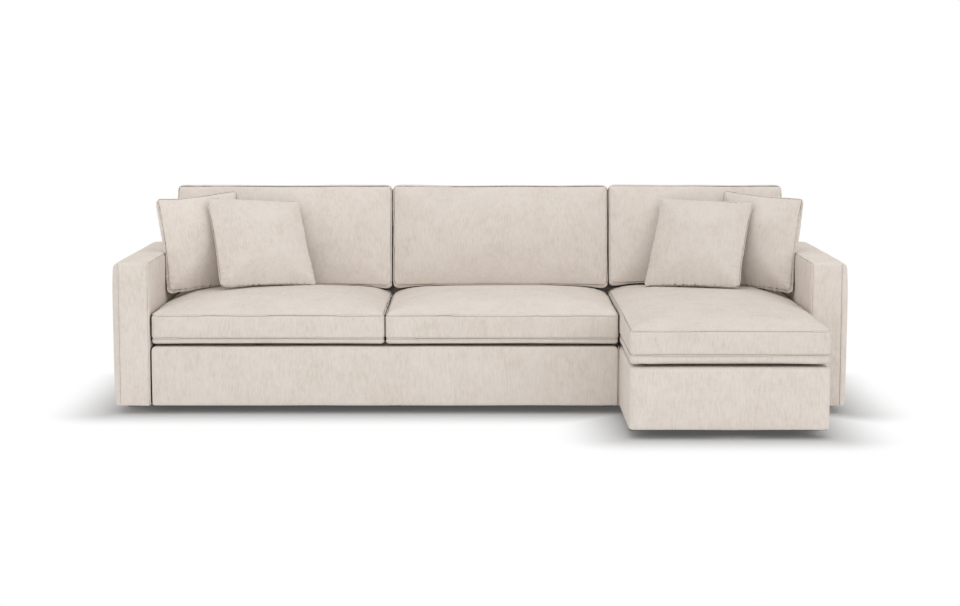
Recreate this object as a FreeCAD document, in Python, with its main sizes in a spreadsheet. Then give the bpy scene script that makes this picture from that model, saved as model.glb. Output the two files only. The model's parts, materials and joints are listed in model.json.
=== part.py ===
import FreeCAD, Part
import math
import os
from types import SimpleNamespace

import Sketcher

# Sectional sofa with a chaise on the right, as seen from the front: two units that push together.
# +X runs along the sofa to the right, +Y to the rear, +Z up. The origin is on the floor, under the
# middle of the whole sofa. All lengths are in millimetres and all angles in degrees.
SIZES = {
    # the two units
    "sofa_unit_width": 2135,
    "chaise_unit_width": 965,
    "sofa_depth": 980,
    "chaise_reach": 570,
    "unit_gap": 0.6,
    "arm_inset": 6,
    # the base
    "foot_height": 35,
    "base_height": 251,
    "front_padding": 14,
    "edge_padding": 12,
    "edge_round": 14,
    "edge_wrap": 70,
    "flange": 1.5,
    "flange_width": 26,
    "base_corner": 20,
    "cover_thickness": 2.5,
    "fit": 0.3,
    "close_fit": 0.1,
    # timber
    "board": 24,
    "seat_rail_height": 100,
    "seat_rail_setback": 4,
    "tie_height": 120,
    "sofa_tie_place": 1000,
    "chaise_tie_spacing": 470,
    "chaise_tie_place": 480,
    "block_leg": 70,
    "block_height": 100,
    "block_drop": 10,
    "back_height": 720,
    "back_depth": 134,
    "back_padding": 12,
    "back_edge_round": 11,
    "back_rail_height": 90,
    "rake": 10,
    # webbing and deck
    "strap_thickness": 1.5,
    "strap_width": 70,
    "strap_gap": 0.2,
    "strap_grip": 18,
    "sofa_strap_spacing": 178,
    "chaise_strap_spacing": 142,
    "cross_strap_spacing": 195,
    "back_strap_spacing": 92,
    "back_strap_offset": 90,
    "deck_thickness": 19,
    # arms
    "arm_width": 166,
    "arm_height": 640,
    "arm_outer_bulge": 12,
    "arm_inner_bulge": 5,
    "arm_front_round": 22,
    "arm_padding": 12,
    "arm_rail_height": 110,
    "packer_height": 130,
    "packer_lift": 32,
    "packer_length": 160,
    "packer_first": 60,
    "packer_spacing": 560,
    # feet and connectors
    "foot_width": 62,
    "foot_tip_width": 50,
    "foot_setback": 190,
    "foot_rear_inset": 75,
    "connector_plate": 2.5,
    "connector_width": 60,
    "connector_length": 82,
    "tongue_reach": 66,
    "tongue_width": 46,
    "tongue_step": 7.5,
    "connector_setback": 330,
    "connector_rear_inset": 310,
    # seat cushions
    "cushion_gap": 1.2,
    "arm_gap": 1,
    "seat_under": 22,
    "seat_boxing": 102,
    "seat_crown": 66,
    "chaise_under": 36,
    "chaise_boxing": 100,
    "chaise_crown": 58,
    "seat_corner": 24,
    "seat_draw_in": 3,
    "seat_bevel": 19,
    "crown_shoulder": 60,
    "crown_angle": 58,
    # back cushions
    "back_cushion_height": 460,
    "back_cushion_sink": 49.6,
    "chaise_back_cushion_height": 449,
    "chaise_back_cushion_sink": 42.6,
    "back_cushion_under": 18,
    "back_cushion_boxing": 112,
    "back_cushion_crown": 42,
    "back_cushion_corner": 30,
    "back_cushion_draw_in": 2,
    "back_cushion_bevel": 15,
    "back_shoulder": 48,
    "back_crown_angle": 50,
    # throw pillows
    "pillow_size": 436,
    "pillow_edge": 5,
    "pillow_rise": 62,
    "pillow_corner": 24,
    "pillow_draw_in": 8,
    "pillow_shoulder": 90,
    "pillow_crown_angle": 42,
    "outer_pillow_lean": 11,
    "outer_pillow_turn": 43,
    "inner_pillow_lean": 29,
    "inner_pillow_turn": 24,
    "inner_pillow_tilt": 2,
    "left_outer_pillow_inset": 149.0,
    "left_outer_pillow_setback": 389.4,
    "left_outer_pillow_height": 198.5,
    "left_inner_pillow_inset": 399,
    "left_inner_pillow_setback": 403.0,
    "left_inner_pillow_height": 193.8,
    "right_outer_pillow_inset": 148.9,
    "right_outer_pillow_setback": 390.3,
    "right_outer_pillow_height": 195.7,
    "right_inner_pillow_inset": 399,
    "right_inner_pillow_setback": 406.6,
    "right_inner_pillow_height": 186.7,
}

doc = FreeCAD.newDocument("SectionalSofa")
sheet = doc.addObject("Spreadsheet::Sheet", "Sizes")
for row, (alias, number) in enumerate(SIZES.items(), 1):
    sheet.set(f"A{row}", alias)
    sheet.set(f"B{row}", str(number))
    sheet.setAlias(f"B{row}", alias)
doc.recompute()


class Size:
    """A length or angle that carries both its number and the expression that gives it."""

    def __init__(self, text, value):
        self.text = text
        self.value = float(value)

    def __add__(self, other):
        other = size(other)
        return Size(f"({self.text} + {other.text})", self.value + other.value)

    def __sub__(self, other):
        other = size(other)
        return Size(f"({self.text} - {other.text})", self.value - other.value)

    def __mul__(self, other):
        other = size(other)
        return Size(f"({self.text} * {other.text})", self.value * other.value)

    def __truediv__(self, other):
        other = size(other)
        return Size(f"({self.text} / {other.text})", self.value / other.value)

    def __radd__(self, other):
        return size(other) + self

    def __rsub__(self, other):
        return size(other) - self

    def __rmul__(self, other):
        return size(other) * self

    def __neg__(self):
        return size(-1) * self


def size(number):
    return number if isinstance(number, Size) else Size(f"({number})", number)


def sine(angle):
    return Size(f"sin({angle.text})", math.sin(math.radians(angle.value)))


def cosine(angle):
    return Size(f"cos({angle.text})", math.cos(math.radians(angle.value)))


def tangent(angle):
    return sine(angle) / cosine(angle)


def bow(chord, rise):
    """Radius of the shallow arc that rises by this much over its chord."""
    return chord * chord / (8 * rise) + rise / 2


hair = 0.01  # edges closer than this to a plane lie in it
past = 1  # how far a cutter runs past the face that it opens
least_cut = 0.001  # the least share of a solid that a cut has to take away
s = SimpleNamespace(**{alias: Size(f"Sizes.{alias}", number) for alias, number in SIZES.items()})
Vector = FreeCAD.Vector


def bind(thing, path, value):
    thing.setExpression(path, size(value).text)


def place(thing, x, y, z, turns=()):
    """Puts a thing at x, y, z, turned about each named axis in the order given."""
    spot = f"vector({size(x).text}; {size(y).text}; {size(z).text})"
    axes = {"X": "vector(1; 0; 0)", "Y": "vector(0; 1; 0)", "Z": "vector(0; 0; 1)"}
    turning = " * ".join(f"rotation({axes[axis]}; {size(angle).text})" for axis, angle in turns)
    turning = turning or "rotation(vector(0; 0; 1); 0)"
    thing.setExpression("Placement", f"placement({spot}; {turning})")
    return thing


def box(name, low, high, turns=()):
    """A plain board between two opposite corners."""
    board = doc.addObject("Part::Box", name)
    for path, start, end in zip(("Length", "Width", "Height"), low, high):
        bind(board, path, size(end) - start)
    return place(board, *low, turns)


def group(name, pieces):
    """Pieces that lie apart but belong to one sub-part."""
    together = doc.addObject("Part::Compound", name)
    together.Links = pieces
    return together


def cut(name, piece, tool):
    rest = doc.addObject("Part::Cut", name)
    rest.Base = piece
    rest.Tool = tool
    return rest


def draw(sketch, points, arcs=()):
    """Draws a closed outline. A side named in arcs bends to its right by that radius, or to its
    left if the radius is negative; every other side is straight."""
    arcs = {side: size(radius) for side, radius in dict(arcs).items()}
    points = [(size(x), size(y)) for x, y in points]
    spots = [Vector(x.value, y.value, 0) for x, y in points]
    first = sketch.GeometryCount
    count = len(points)

    def ends(side):
        return (2, 1) if side in arcs and arcs[side].value < 0 else (1, 2)

    for side, start in enumerate(spots):
        end = spots[(side + 1) % count]
        if side not in arcs:
            sketch.addGeometry(Part.LineSegment(start, end), False)
            continue
        radius = arcs[side].value
        chord = end - start
        depth = abs(radius) - math.sqrt(max(radius**2 - chord.Length**2 / 4, 0))
        outward = Vector(chord.y, -chord.x, 0).normalize() * math.copysign(depth, radius)
        sketch.addGeometry(Part.Arc(start, (start + end) / 2 + outward, end), False)
    sketch.addConstraint([
        Sketcher.Constraint("Coincident", first + side, ends(side)[1],
                            first + (side + 1) % count, ends((side + 1) % count)[0])
        for side in range(count)])
    driven = []
    for side, (x, y) in enumerate(points):
        driven.append((Sketcher.Constraint("DistanceX", -1, 1, first + side, ends(side)[0], x.value), x))
        driven.append((Sketcher.Constraint("DistanceY", -1, 1, first + side, ends(side)[0], y.value), y))
    for side, radius in arcs.items():
        radius = radius if radius.value > 0 else -radius
        driven.append((Sketcher.Constraint("Radius", first + side, radius.value), radius))
    start = sketch.ConstraintCount
    sketch.addConstraint([constraint for constraint, _ in driven])
    for number, (_, value) in enumerate(driven, start):
        bind(sketch, f"Constraints[{number}]", value)
    return sketch


def sketch_in(body, role, away=0):
    """A sketch on one of the body's own planes, moved away along the plane's normal."""
    plane = next(f for f in body.Origin.OriginFeatures if f.Role == role)
    sketch = body.newObject("Sketcher::SketchObject", f"{body.Name}Outline")
    sketch.AttachmentSupport = [(plane, "")]
    sketch.MapMode = "FlatFace"
    bind(sketch, "AttachmentOffset.Base.z", away)
    return sketch


def new_body(name):
    return doc.addObject("PartDesign::Body", name)


def pad(body, sketch, length):
    feature = body.newObject("PartDesign::Pad", f"{body.Name}Pad")
    feature.Profile = sketch
    bind(feature, "Length", length)
    sketch.Visibility = False
    return feature


def pocket(body, sketch, length, forward=False):
    """Cuts against the sketch's normal, or along it when forward."""
    feature = body.newObject("PartDesign::Pocket", f"{body.Name}Pocket")
    feature.Profile = sketch
    feature.Reversed = forward
    bind(feature, "Length", length)
    sketch.Visibility = False
    return feature


def edges_of(body, wanted):
    """The body's last feature and the names of its edges whose middle point is wanted."""
    doc.recompute()
    names = []
    for number, edge in enumerate(body.Tip.Shape.Edges, 1):
        middle = edge.valueAt((edge.FirstParameter + edge.LastParameter) / 2)
        if wanted(edge, middle):
            names.append(f"Edge{number}")
    return body.Tip, names


def round_edges(body, radius, wanted):
    chosen = edges_of(body, wanted)
    fillet = body.newObject("PartDesign::Fillet", f"{body.Name}Round")
    fillet.Base = chosen
    bind(fillet, "Radius", radius)
    return fillet


def bevel_edges(body, width, wanted):
    chosen = edges_of(body, wanted)
    chamfer = body.newObject("PartDesign::Chamfer", f"{body.Name}Bevel")
    chamfer.Base = chosen
    bind(chamfer, "Size", width)
    return chamfer


def side_profile(name, points, arcs, low_x, high_x):
    """A piece with one outline from the side, in Y and Z, and a length along X."""
    body = new_body(name)
    pad(body, draw(sketch_in(body, "YZ_Plane"), points, arcs), size(high_x) - low_x)
    place(body, low_x, 0, 0)
    return body


def prisms(name, outlines, low_z, height):
    """Upright blocks on outlines in plan, all of one height."""
    sketch = doc.addObject("Sketcher::SketchObject", f"{name}Outline")
    for points in outlines:
        draw(sketch, points)
    blocks = doc.addObject("Part::Extrusion", name)
    blocks.Base = sketch
    blocks.DirMode = "Normal"
    blocks.Solid = True
    bind(blocks, "LengthFwd", height)
    place(blocks, 0, 0, low_z)
    return blocks


# Planes that the whole sofa shares
left = -(s.sofa_unit_width + s.chaise_unit_width) / 2
right = -left
joint = left + s.sofa_unit_width
rear = (s.sofa_depth + s.chaise_reach) / 2
sofa_front = rear - s.sofa_depth
chaise_front = -rear
base_bottom = s.foot_height
base_top = s.foot_height + s.base_height
frame_bottom = base_bottom + s.flange
rail_top = base_top - s.edge_padding
straps_top = rail_top + 2 * s.strap_thickness + s.strap_gap
deck_bottom = straps_top + s.fit
deck_top = deck_bottom + s.deck_thickness
cushion_bottom = deck_top + s.fit
cover_rear = rear - s.cover_thickness
inside_back = rear - s.back_depth
seat_rail_y = inside_back + s.seat_rail_setback
sofa_arm_face = left + s.arm_width
chaise_arm_face = right - s.arm_width
sofa_end = joint - s.unit_gap / 2
chaise_end = joint + s.unit_gap / 2
frame_top = s.back_height - s.back_padding - s.fit


def back_face(z, behind=0):
    """Y of the leaning front of the back at a height, or of a plane that far behind it."""
    return inside_back + (z - deck_top) * tangent(s.rake) + size(behind) / cosine(s.rake)


def timber_face(z):
    return back_face(z, s.back_padding + s.strap_thickness + 2 * s.strap_gap)


def woven_strap(name, length, crossings, over_first, start):
    """One strap that passes over and under the straps it crosses, in its own X and Z."""
    doc.recompute()
    thick = s.strap_thickness.value
    gap = s.strap_gap.value
    half = s.strap_width.value / 2
    levels = [(0.0, 0.0)]
    for number, middle in enumerate(crossings):
        above = (number % 2 == 0) == over_first
        level = thick + gap if above else -thick - gap
        levels.append((middle - half, level))
        levels.append((middle + half, level))
    levels.append((length, 0.0))
    levels.insert(1, (start, 0.0))
    levels.insert(-1, (length - start, 0.0))
    lower = [Vector(x, 0, z) for x, z in levels]
    upper = [Vector(x, 0, z + thick) for x, z in reversed(levels)]
    outline = Part.makePolygon(lower + upper + lower[:1])
    strap = doc.addObject("Part::Feature", name)
    strap.Shape = Part.Face(outline).extrude(Vector(0, s.strap_width.value, 0))
    return strap


def spread(span, spacing):
    """Middles of as many things as fit in a span at about this spacing, shared out evenly."""
    count = max(1, round(span / spacing))
    return [span * (number + 0.5) / count for number in range(count)]


def webbing(name, low_x, high_x, low_y, high_y, long_axis, spacing):
    """Elastic straps on the rails' tops: a flat set one way and a woven set the other way."""
    wide = (high_x - low_x).value
    deep = (high_y - low_y).value
    span, length = (wide, deep) if long_axis == "Y" else (deep, wide)
    grip = s.strap_grip
    pieces = []
    middles = spread(span - 2 * s.board.value, spacing.value)
    middles = [s.board.value + middle for middle in middles]
    for number, middle in enumerate(middles):
        near = middle - s.strap_width / 2
        far = middle + s.strap_width / 2
        if long_axis == "Y":
            low = (low_x + near, low_y + s.board - grip, rail_top)
            high = (low_x + far, high_y - s.board + grip, rail_top + s.strap_thickness)
        else:
            low = (low_x + s.board - grip, low_y + near, rail_top)
            high = (high_x - s.board + grip, low_y + far, rail_top + s.strap_thickness)
        pieces.append(box(f"{name}Flat{number}", low, high))
    offset = (s.board - grip).value
    crossings = [middle - offset for middle in middles]
    for number, middle in enumerate(spread(length - 2 * s.board.value, s.cross_strap_spacing.value)):
        start = s.board.value + middle - s.strap_width.value / 2
        strap = woven_strap(f"{name}Woven{number}", span - 2 * offset, crossings,
                            number % 2 == 0, grip.value)
        if long_axis == "Y":
            strap.Placement = FreeCAD.Placement(
                Vector(low_x.value + offset, low_y.value + start, rail_top.value), FreeCAD.Rotation())
        else:
            quarter = FreeCAD.Rotation(Vector(0, 0, 1), 90)
            strap.Placement = FreeCAD.Placement(
                Vector(low_x.value + start + s.strap_width.value, low_y.value + offset, rail_top.value),
                quarter)
        pieces.append(strap)
    return group(name, pieces)


def corner_blocks(name, low_x, high_x, low_y, high_y):
    """Three-cornered blocks glued into the four inner corners of the rails round a seat."""
    outlines = []
    for x, inward_x in ((low_x, s.block_leg), (high_x, -s.block_leg)):
        for y, inward_y in ((low_y, s.block_leg), (high_y, -s.block_leg)):
            outlines.append([(x, y), (x + inward_x, y), (x, y + inward_y)])
    return prisms(name, outlines, rail_top - s.block_drop - s.block_height, s.block_height)


def post(name, low_x):
    """A shaped back post: upright behind, leaning in front above the seat rail."""
    behind_seat_rail = seat_rail_y + s.board
    bend = deck_top + (behind_seat_rail - timber_face(deck_top)) / tangent(s.rake)
    back_line = cover_rear - s.board
    points = [(behind_seat_rail, frame_bottom), (back_line, frame_bottom), (back_line, frame_top),
              (timber_face(frame_top), frame_top), (behind_seat_rail, bend)]
    return side_profile(name, points, {}, low_x, low_x + s.board)


def back_straps(name, low_x, high_x):
    """Level straps across the leaning front of the posts."""
    pieces = []
    slope = (frame_top - deck_top) / cosine(s.rake)
    usable = slope - s.back_strap_offset - s.strap_width / 2
    count = int(usable.value // s.back_strap_spacing.value)
    lean = [("X", -s.rake)]
    forward = s.strap_thickness + s.strap_gap
    for number in range(count):
        along = s.back_strap_offset + number * s.back_strap_spacing
        z = deck_top + along * cosine(s.rake)
        y = timber_face(z)
        strap = doc.addObject("Part::Box", f"{name}{number}")
        bind(strap, "Length", high_x - low_x)
        bind(strap, "Width", s.strap_thickness)
        bind(strap, "Height", s.strap_width)
        place(strap, low_x, y - forward * cosine(s.rake), z + forward * sine(s.rake), lean)
        pieces.append(strap)
    return group(name, pieces)


def back_outline(low_z):
    """The outside of the back from the side, from its leaning front over the top to its rear."""
    turn = s.back_edge_round
    top = s.back_height
    reach = turn * tangent((90 - s.rake) / 2)
    points = [(back_face(low_z), low_z),
              (back_face(top) - reach * sine(s.rake), top - reach * cosine(s.rake)),
              (back_face(top) + reach, top), (rear - turn, top), (rear, top - turn)]
    return points, {1: -turn, 3: -turn}


def inside_back_cover(name, low_x, high_x):
    """Padded cover over the leaning front and the top of the back."""
    points, arcs = back_outline(cushion_bottom)
    lining = frame_top + s.fit
    points += [(rear, lining), (back_face(lining, s.back_padding), lining),
               (back_face(cushion_bottom, s.back_padding), cushion_bottom)]
    return side_profile(name, points, arcs, low_x, high_x)


def outside_back_cover(name, low_x, high_x):
    """Flat cover down the rear, between the end panels."""
    return box(name, (low_x, cover_rear, base_bottom), (high_x, rear, frame_top))


def back_end_panel(name, low_x):
    """Closes the end of the back above the base."""
    foot = base_top + s.fit
    points, arcs = back_outline(foot)
    return side_profile(name, points + [(rear, foot)], arcs, low_x, low_x + s.cover_thickness)


# Arms
def arm(side, name, base_edge):
    """A square arm: boards inside, a wrap of padding, and a cover whose sides swell."""
    outer = left if side < 0 else right
    across = -side
    seam_out = outer + across * s.arm_outer_bulge
    seam_in = outer + across * (s.arm_width - s.arm_inner_bulge)
    wall = s.cover_thickness
    pad_depth = wall + s.arm_padding
    top = s.arm_height

    def across_box(box_name, near, far, low_y, low_z, high_y, high_z):
        low_x, high_x = (near, far) if side < 0 else (far, near)
        return box(box_name, (low_x, low_y, low_z), (high_x, high_y, high_z))

    body = new_body(f"{name}Outside")
    height = top - base_bottom
    points = [(seam_out, base_bottom), (seam_in, base_bottom), (seam_in, top), (seam_out, top)]
    arcs = {1: across * bow(height, s.arm_inner_bulge), 3: across * bow(height, s.arm_outer_bulge)}
    pad(body, draw(sketch_in(body, "XZ_Plane"), points, arcs), s.sofa_depth)
    place(body, 0, rear, 0)

    def front_top(edge, middle):
        return abs(abs(middle.y) - s.sofa_depth.value) < hair and middle.z > top.value - hair

    round_edges(body, s.arm_front_round, front_top)

    room = across_box(f"{name}Room", seam_out + across * wall, seam_in - across * wall,
                      sofa_front + wall, base_bottom - past, cover_rear, top - wall)
    form = across_box(f"{name}Form", seam_out + across * wall, seam_in - across * wall,
                      sofa_front + wall, frame_bottom, cover_rear, top - wall)
    near = seam_out + across * pad_depth
    far = seam_in - across * pad_depth
    low_y = sofa_front + pad_depth
    high_y = rear - pad_depth
    high_z = top - pad_depth
    hollow = across_box(f"{name}Hollow", near, far, low_y, frame_bottom - past, high_y, high_z)
    b = s.board
    board_top = high_z - b
    rail_high = frame_bottom + s.arm_rail_height
    middle_y = (low_y + high_y) / 2
    prefix = "left" if side < 0 else "right"
    sub_parts[f"{prefix}_arm_frame"] = group(f"{name}Frame", [
        across_box(f"{name}FrontBoard", near, far, low_y, frame_bottom, low_y + b, board_top),
        across_box(f"{name}RearBoard", near, far, high_y - b, frame_bottom, high_y, board_top),
        across_box(f"{name}TopBoard", near, far, low_y, board_top, high_y, high_z),
        across_box(f"{name}InnerRail", far - across * b, far, low_y + b, frame_bottom,
                   high_y - b, rail_high),
        across_box(f"{name}OuterRail", near, near + across * b, low_y + b, frame_bottom,
                   high_y - b, rail_high),
        across_box(f"{name}Stud", near, far, middle_y, rail_high, middle_y + b, board_top)])
    sub_parts[f"{prefix}_arm_padding"] = cut(f"{name}Wrap", form, hollow)
    sub_parts[f"{prefix}_arm_cover"] = cut(f"{name}Shell", body, room)

    # The arm's inner side swells most half way up, so the packers stop short of it by what it has
    # swelled at their top
    packer_low = frame_bottom + s.packer_lift
    packer_high = packer_low + s.packer_height
    below_middle = (height / 2 + base_bottom - packer_high) / (height / 2)
    swell = s.arm_inner_bulge * (1 - below_middle * below_middle)
    arm_side = seam_in + across * (swell + s.fit)
    packers = []
    for number in range(2):
        y = sofa_front + s.packer_first + number * s.packer_spacing
        packers.append(across_box(f"{name}Packer{number}", arm_side, base_edge - across * s.fit / 2,
                                  y, packer_low, y + s.packer_length, packer_high))
    sub_parts[f"{prefix}_arm_packers"] = group(f"{name}Packers", packers)


sub_parts = {}
chaise_base_right = chaise_arm_face - s.arm_inset
sofa_base_left = sofa_arm_face + s.arm_inset
sofa_inner_end = sofa_end - s.cover_thickness
sofa_back_left = sofa_arm_face + s.fit
chaise_back_right = chaise_arm_face - s.fit
arm(-1, "LeftArm", sofa_base_left)
arm(1, "RightArm", chaise_base_right)


# Timber base and back of each unit
def timber(prefix, low_x, high_x, front_y, back_low_x, back_high_x, ties, post_places):
    """The rails, ties, blocks and posts between the covers of one unit."""
    title = prefix.title()
    b = s.board
    rear_y = cover_rear - b
    side_low = box(f"{title}SideA", (low_x, front_y + b, frame_bottom), (low_x + b, rear_y, rail_top))
    side_high = box(f"{title}SideB", (high_x - b, front_y + b, frame_bottom), (high_x, rear_y, rail_top))
    sub_parts[f"{prefix}_front_rail"] = box(f"{title}FrontRail", (low_x, front_y, frame_bottom),
                                            (high_x, front_y + b, rail_top))
    sub_parts[f"{prefix}_side_rails"] = group(f"{title}SideRails", [side_low, side_high])
    sub_parts[f"{prefix}_rear_rail"] = box(f"{title}RearRail", (low_x, rear_y, frame_bottom),
                                           (high_x, cover_rear, rail_top))
    sub_parts[f"{prefix}_seat_rear_rail"] = box(
        f"{title}SeatRearRail", (low_x + b, seat_rail_y, rail_top - s.seat_rail_height),
        (high_x - b, seat_rail_y + b, rail_top))
    sub_parts[f"{prefix}_tie_rails"] = group(f"{title}Ties", ties)
    sub_parts[f"{prefix}_corner_blocks"] = corner_blocks(f"{title}Blocks", low_x + b, high_x - b,
                                                         front_y + b, seat_rail_y)
    sub_parts[f"{prefix}_back_posts"] = group(
        f"{title}Posts", [post(f"{title}Post{number}", x) for number, x in enumerate(post_places)])
    sub_parts[f"{prefix}_back_top_rail"] = box(
        f"{title}BackTopRail", (back_low_x, rear_y, frame_top - s.back_rail_height),
        (back_high_x, cover_rear, frame_top))
    sub_parts[f"{prefix}_back_webbing"] = back_straps(f"{title}BackStrap", post_places[0],
                                                      post_places[-1] + b)


b = s.board
rail_front = sofa_front + s.front_padding
tie_x = sofa_base_left + s.sofa_tie_place
sofa_tie = box("SofaTie", (tie_x, rail_front + b, frame_bottom),
               (tie_x + b, cover_rear - b, frame_bottom + s.tie_height))
timber("sofa", sofa_base_left, sofa_inner_end, rail_front, sofa_back_left + s.cover_thickness,
       sofa_inner_end, [sofa_tie],
       [sofa_base_left + b, tie_x + b, sofa_inner_end - 2 * b])

chaise_low = chaise_end + s.edge_padding
chaise_high = chaise_base_right - s.edge_padding
chaise_rail_front = chaise_front + s.edge_padding
chaise_ties = []
for number in range(2):
    y = chaise_rail_front + s.chaise_tie_place + number * s.chaise_tie_spacing
    chaise_ties.append(box(f"ChaiseTie{number}", (chaise_low + b, y, frame_bottom),
                           (chaise_high - b, y + b, frame_bottom + s.tie_height)))
timber("chaise", chaise_low, chaise_high, chaise_rail_front, chaise_end + s.cover_thickness,
       chaise_back_right - s.cover_thickness, chaise_ties,
       [chaise_low + b, chaise_high - 2 * b])

# Webbing and deck
sub_parts["sofa_seat_webbing"] = webbing("SofaWebbing", sofa_base_left, sofa_inner_end, rail_front,
                                         seat_rail_y + b, "Y", s.sofa_strap_spacing)
sub_parts["chaise_seat_webbing"] = webbing("ChaiseWebbing", chaise_low, chaise_high,
                                           chaise_rail_front, seat_rail_y + b, "X",
                                           s.chaise_strap_spacing)
deck_rear = inside_back - 2 * s.fit
sub_parts["sofa_deck"] = box("SofaDeck", (sofa_base_left + s.fit, sofa_front + s.edge_wrap + s.fit,
                                          deck_bottom),
                             (sofa_inner_end - s.fit, deck_rear, deck_top))
sub_parts["chaise_deck"] = box("ChaiseDeck", (chaise_end + s.edge_wrap + s.fit,
                                              chaise_front + s.edge_wrap + s.fit, deck_bottom),
                               (chaise_base_right - s.edge_wrap - s.fit, deck_rear, deck_top))


# Covers of the base
def front_cover():
    """Padded cover over the front rail, wrapped over its top edge and turned under its foot."""
    front = sofa_front
    turn = s.edge_round
    points = [(front, base_bottom), (front, base_top - turn), (front + turn, base_top),
              (front + s.edge_wrap, base_top), (front + s.edge_wrap, deck_bottom),
              (rail_front, deck_bottom), (rail_front, frame_bottom),
              (front + s.flange_width + s.front_padding, frame_bottom),
              (front + s.flange_width + s.front_padding, base_bottom)]
    return side_profile("SofaFrontCover", points, {1: -turn}, sofa_base_left, sofa_inner_end)


sub_parts["sofa_front_cover"] = front_cover()


def sofa_end_cover():
    """The whole end of the sofa unit at the joint, base and back in one outline."""
    turn = s.edge_round
    back, back_arcs = back_outline(base_top)
    points = [(sofa_front, base_bottom), (sofa_front, base_top - turn), (sofa_front + turn, base_top)]
    arcs = {1: -turn}
    arcs.update({side + len(points): radius for side, radius in back_arcs.items()})
    points += back + [(rear, base_bottom)]
    return side_profile("SofaEndCover", points, arcs, sofa_inner_end, sofa_end)


end_panel = back_end_panel("SofaArmEndPanel", sofa_back_left)
sub_parts["sofa_end_covers"] = group("SofaEndCovers", [sofa_end_cover(), end_panel])
sub_parts["sofa_inside_back_cover"] = inside_back_cover(
    "SofaInsideBack", sofa_back_left + s.cover_thickness, sofa_inner_end)
sub_parts["sofa_outside_back_cover"] = outside_back_cover(
    "SofaOutsideBack", sofa_back_left + s.cover_thickness, sofa_inner_end)


def chaise_base_cover():
    """Padded cover round the front and both sides of the chaise base, open behind and below."""
    body = new_body("ChaiseBaseCover")
    turn = s.base_corner
    low_x, high_x, low_y, high_y = chaise_end, chaise_base_right, chaise_front, cover_rear
    plan = [(low_x, high_y), (low_x, low_y + turn), (low_x + turn, low_y), (high_x - turn, low_y),
            (high_x, low_y + turn), (high_x, high_y)]
    pad(body, draw(sketch_in(body, "XY_Plane", base_bottom), plan, {1: turn, 3: turn}), s.base_height)

    def upper(edge, middle):
        return middle.z > base_top.value - hair and middle.y < high_y.value - hair

    round_edges(body, s.edge_round, upper)
    wall = s.edge_padding
    beyond = high_y + wall

    def opening(inset, front, depth, level):
        outline = [(low_x + inset, front), (high_x - inset, front),
                   (high_x - inset, beyond), (low_x + inset, beyond)]
        pocket(body, draw(sketch_in(body, "XY_Plane", level), outline), depth)

    opening(wall, low_y + wall, deck_bottom - base_bottom + wall, deck_bottom)
    opening(s.edge_wrap, low_y + s.edge_wrap, s.base_height, base_top)
    opening(wall, deck_rear, s.base_height, base_top)
    return body


sub_parts["chaise_base_cover"] = chaise_base_cover()
sub_parts["chaise_end_covers"] = group("ChaiseEndCovers", [
    back_end_panel("ChaiseJointEndPanel", chaise_end),
    back_end_panel("ChaiseArmEndPanel", chaise_back_right - s.cover_thickness)])
sub_parts["chaise_inside_back_cover"] = inside_back_cover(
    "ChaiseInsideBack", chaise_end + s.cover_thickness, chaise_back_right - s.cover_thickness)
sub_parts["chaise_outside_back_cover"] = outside_back_cover(
    "ChaiseOutsideBack", chaise_end + s.cover_thickness, chaise_back_right - s.cover_thickness)

# Dust cloths under the frames
cloth_low = base_bottom + s.close_fit
cloth_high = frame_bottom - s.close_fit
sub_parts["sofa_dust_cloth"] = box(
    "SofaDustCloth", (sofa_base_left, sofa_front + s.flange_width + s.front_padding + s.fit, cloth_low),
    (sofa_inner_end, cover_rear - s.fit, cloth_high))
sub_parts["chaise_dust_cloth"] = box(
    "ChaiseDustCloth", (chaise_low, chaise_rail_front, cloth_low),
    (chaise_high, cover_rear - s.fit, cloth_high))


# Feet
def feet(name, places):
    """Square moulded feet, narrower at the floor."""
    pieces = []
    for number, (x, y, top) in enumerate(places):
        foot = doc.addObject("Part::Wedge", f"{name}{number}")
        half = s.foot_width / 2
        tip = s.foot_tip_width / 2
        for path, value in (("Xmin", -tip), ("Xmax", tip), ("Zmin", -tip), ("Zmax", tip),
                            ("X2min", -half), ("X2max", half), ("Z2min", -half), ("Z2max", half),
                            ("Ymin", 0), ("Ymax", top)):
            bind(foot, path, value)
        pieces.append(place(foot, x, y, 0, [("X", size(90))]))
    return group(name, pieces)


# They stand under rails, and so far back that the gap below the front hides them
cloth_foot = base_bottom
arm_foot = frame_bottom
half_foot = s.foot_width / 2
arm_foot_inset = s.arm_outer_bulge + s.cover_thickness + s.arm_padding + half_foot
left_arm_x = left + arm_foot_inset
right_arm_x = right - arm_foot_inset
tie_foot_x = tie_x + b / 2
sofa_end_x = sofa_inner_end - half_foot
chaise_low_x = chaise_low + half_foot
chaise_high_x = chaise_high - half_foot
sofa_foot_y = sofa_front + s.foot_setback + half_foot
chaise_foot_y = chaise_front + s.foot_setback + half_foot
rear_foot_y = rear - s.foot_rear_inset
sub_parts["sofa_feet"] = feet("SofaFoot", [
    (left_arm_x, sofa_foot_y, arm_foot), (left_arm_x, rear_foot_y, arm_foot),
    (tie_foot_x, sofa_foot_y, cloth_foot), (tie_foot_x, rear_foot_y, cloth_foot),
    (sofa_end_x, sofa_foot_y, cloth_foot), (sofa_end_x, rear_foot_y, cloth_foot)])
sub_parts["chaise_feet"] = feet("ChaiseFoot", [
    (chaise_low_x, chaise_foot_y, cloth_foot), (chaise_high_x, chaise_foot_y, cloth_foot),
    (chaise_low_x, rear_foot_y, cloth_foot),
    (right_arm_x, sofa_foot_y, arm_foot), (right_arm_x, rear_foot_y, arm_foot)])


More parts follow.
